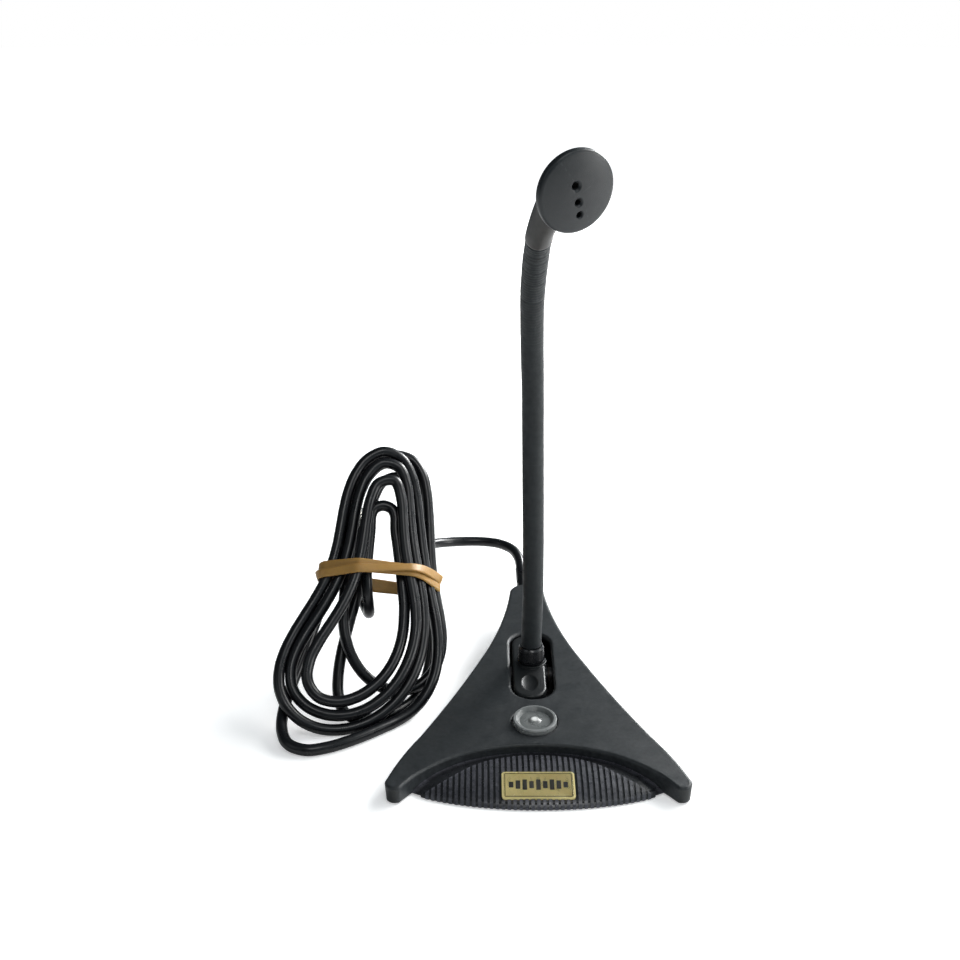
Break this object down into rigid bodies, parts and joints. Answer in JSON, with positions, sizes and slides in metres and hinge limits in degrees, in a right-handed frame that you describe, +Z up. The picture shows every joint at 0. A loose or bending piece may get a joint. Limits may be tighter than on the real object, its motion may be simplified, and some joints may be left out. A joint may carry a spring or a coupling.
{
  "type": "gooseneck desk microphone",
  "caption": "Desk microphone on a weighted three-pointed base, with lit push button, ribbed apron, flexible neck, round head and banded coil of lead.",
  "frame": {"origin": "on the table under the base, on its plane of symmetry, at the middle of its footprint, at the centre rubber foot", "axes": "+Z up, +Y towards the back of the base where the lead leaves, +X to the right seen from the front"},
  "size_m": [0.1495, 0.183, 0.216],
  "materials": {
    "shell_black": "fine satin texture",
    "plate_black": "plain",
    "foot_rubber": "matt",
    "screw_steel": "plated",
    "ballast_iron": "bare",
    "grille_black": "satin",
    "badge_gold": "satin",
    "badge_resin": "clear domed",
    "button_frost": "frosted clear",
    "switch_white": "plain",
    "switch_black": "plain",
    "led_clear": "clear",
    "board_green": "solder mask",
    "header_white": "plain",
    "chip_grey": "plain",
    "spring_steel": "bright",
    "bracket_zinc": "black zinc plated",
    "pin_steel": "blackened",
    "washer_fibre": "dark fibre",
    "cable_black": "glossy PVC",
    "band_tan": "natural",
    "plug_black": "moulded",
    "contact_plate": "nickel plated",
    "insulator_black": "plain",
    "foot_black": "satin",
    "collar_black": "satin",
    "head_charcoal": "satin",
    "cover_charcoal": "satin",
    "screen_cloth": "fine black cloth",
    "capsule_can": "drawn",
    "holder_rubber": "matt",
    "sleeve_black": "matt, fine rings",
    "neck_steel": "plated"
  },
  "bodies": {
    "base": {"top_shell": "shell_black", "base_plate": "plate_black", "rubber_feet": "foot_rubber", "case_screws": "screw_steel", "ballast_plates": "ballast_iron", "front_grille": "grille_black", "badge_plate": "badge_gold", "badge_lens": "badge_resin", "switch_body": "switch_black", "status_led": "led_clear", "circuit_board": "board_green", "board_screws": "screw_steel", "wire_header": "header_white", "board_chips": "chip_grey", "button_spring": "spring_steel", "pivot_bracket": "bracket_zinc", "pivot_pin": "pin_steel", "pivot_clip": "pin_steel", "bracket_screws": "screw_steel", "friction_washers": "washer_fibre", "strain_relief": "cable_black", "cable": "cable_black", "inner_lead": "cable_black", "cable_band": "band_tan", "plug_body": "plug_black", "plug_sleeve": "contact_plate", "plug_insulators": "insulator_black", "plug_ring": "contact_plate", "plug_tip": "contact_plate"},
    "button": {"button_cap": "button_frost", "switch_plunger": "switch_white"},
    "neck_foot": {"neck_rocker": "foot_black", "neck_collar": "collar_black", "neck_sleeve_0": "sleeve_black", "neck_link_0": "neck_steel"},
    "neck_1": {"neck_sleeve_1": "sleeve_black", "neck_link_1": "neck_steel"},
    "neck_2": {"neck_sleeve_2": "sleeve_black", "neck_link_2": "neck_steel"},
    "neck_3": {"neck_sleeve_3": "sleeve_black", "neck_link_3": "neck_steel"},
    "neck_4": {"neck_sleeve_4": "sleeve_black", "neck_link_4": "neck_steel"},
    "neck_5": {"neck_sleeve_5": "sleeve_black", "neck_link_5": "neck_steel"},
    "neck_6": {"neck_sleeve_6": "sleeve_black", "neck_link_6": "neck_steel"},
    "head": {"neck_sleeve_7": "sleeve_black", "neck_link_7": "neck_steel", "head_rear": "head_charcoal", "head_cover": "cover_charcoal", "dust_screen": "screen_cloth", "capsule": "capsule_can", "capsule_holder": "holder_rubber"}
  },
  "joints": [
    {"name": "button_press", "type": "slide", "parent": "base", "child": "button", "axis": [0, 0.1084, -0.9941], "range_m": [0, 0.0013], "stiffness_N_per_m": 350, "springref_m": -0.001, "deforming": ["button_spring"]},
    {"name": "neck_tilt", "type": "hinge", "parent": "base", "child": "neck_foot", "pos_m": [0, 0.0132, 0.0084], "axis": [1, 0, 0], "range_deg": [-8, 8]},
    {"name": "neck_bend_1", "type": "hinge", "parent": "neck_foot", "child": "neck_1", "pos_m": [-0.00022, 0.0132, 0.03417], "axis": [1, 0, 0], "range_deg": [-20, 20]},
    {"name": "neck_sway_2", "type": "hinge", "parent": "neck_1", "child": "neck_2", "pos_m": [-0.00066, 0.0132, 0.0593], "axis": [0, 1, 0], "range_deg": [-20, 20]},
    {"name": "neck_bend_3", "type": "hinge", "parent": "neck_2", "child": "neck_3", "pos_m": [-0.0011, 0.0132, 0.08444], "axis": [1, 0, 0], "range_deg": [-20, 20]},
    {"name": "neck_sway_4", "type": "hinge", "parent": "neck_3", "child": "neck_4", "pos_m": [-0.00154, 0.0131, 0.10958], "axis": [0, 0.999, 0.0446], "range_deg": [-20, 20]},
    {"name": "neck_bend_5", "type": "hinge", "parent": "neck_4", "child": "neck_5", "pos_m": [-0.00197, 0.00894, 0.1343], "axis": [1, 0, 0], "range_deg": [-20, 20]},
    {"name": "neck_sway_6", "type": "hinge", "parent": "neck_5", "child": "neck_6", "pos_m": [-0.00237, -0.00107, 0.15729], "axis": [0, 0.8614, 0.508], "range_deg": [-20, 20]},
    {"name": "neck_bend_7", "type": "hinge", "parent": "neck_6", "child": "head", "pos_m": [-0.00272, -0.01634, 0.17718], "axis": [1, 0, 0], "range_deg": [-20, 20]}
  ],
  "couplings": [
    {"joint": "neck_bend_3", "follows": "neck_bend_1", "ratio": 1},
    {"joint": "neck_sway_4", "follows": "neck_sway_2", "ratio": 1},
    {"joint": "neck_bend_5", "follows": "neck_bend_1", "ratio": 1},
    {"joint": "neck_sway_6", "follows": "neck_sway_2", "ratio": 1},
    {"joint": "neck_bend_7", "follows": "neck_bend_1", "ratio": 1}
  ]
}
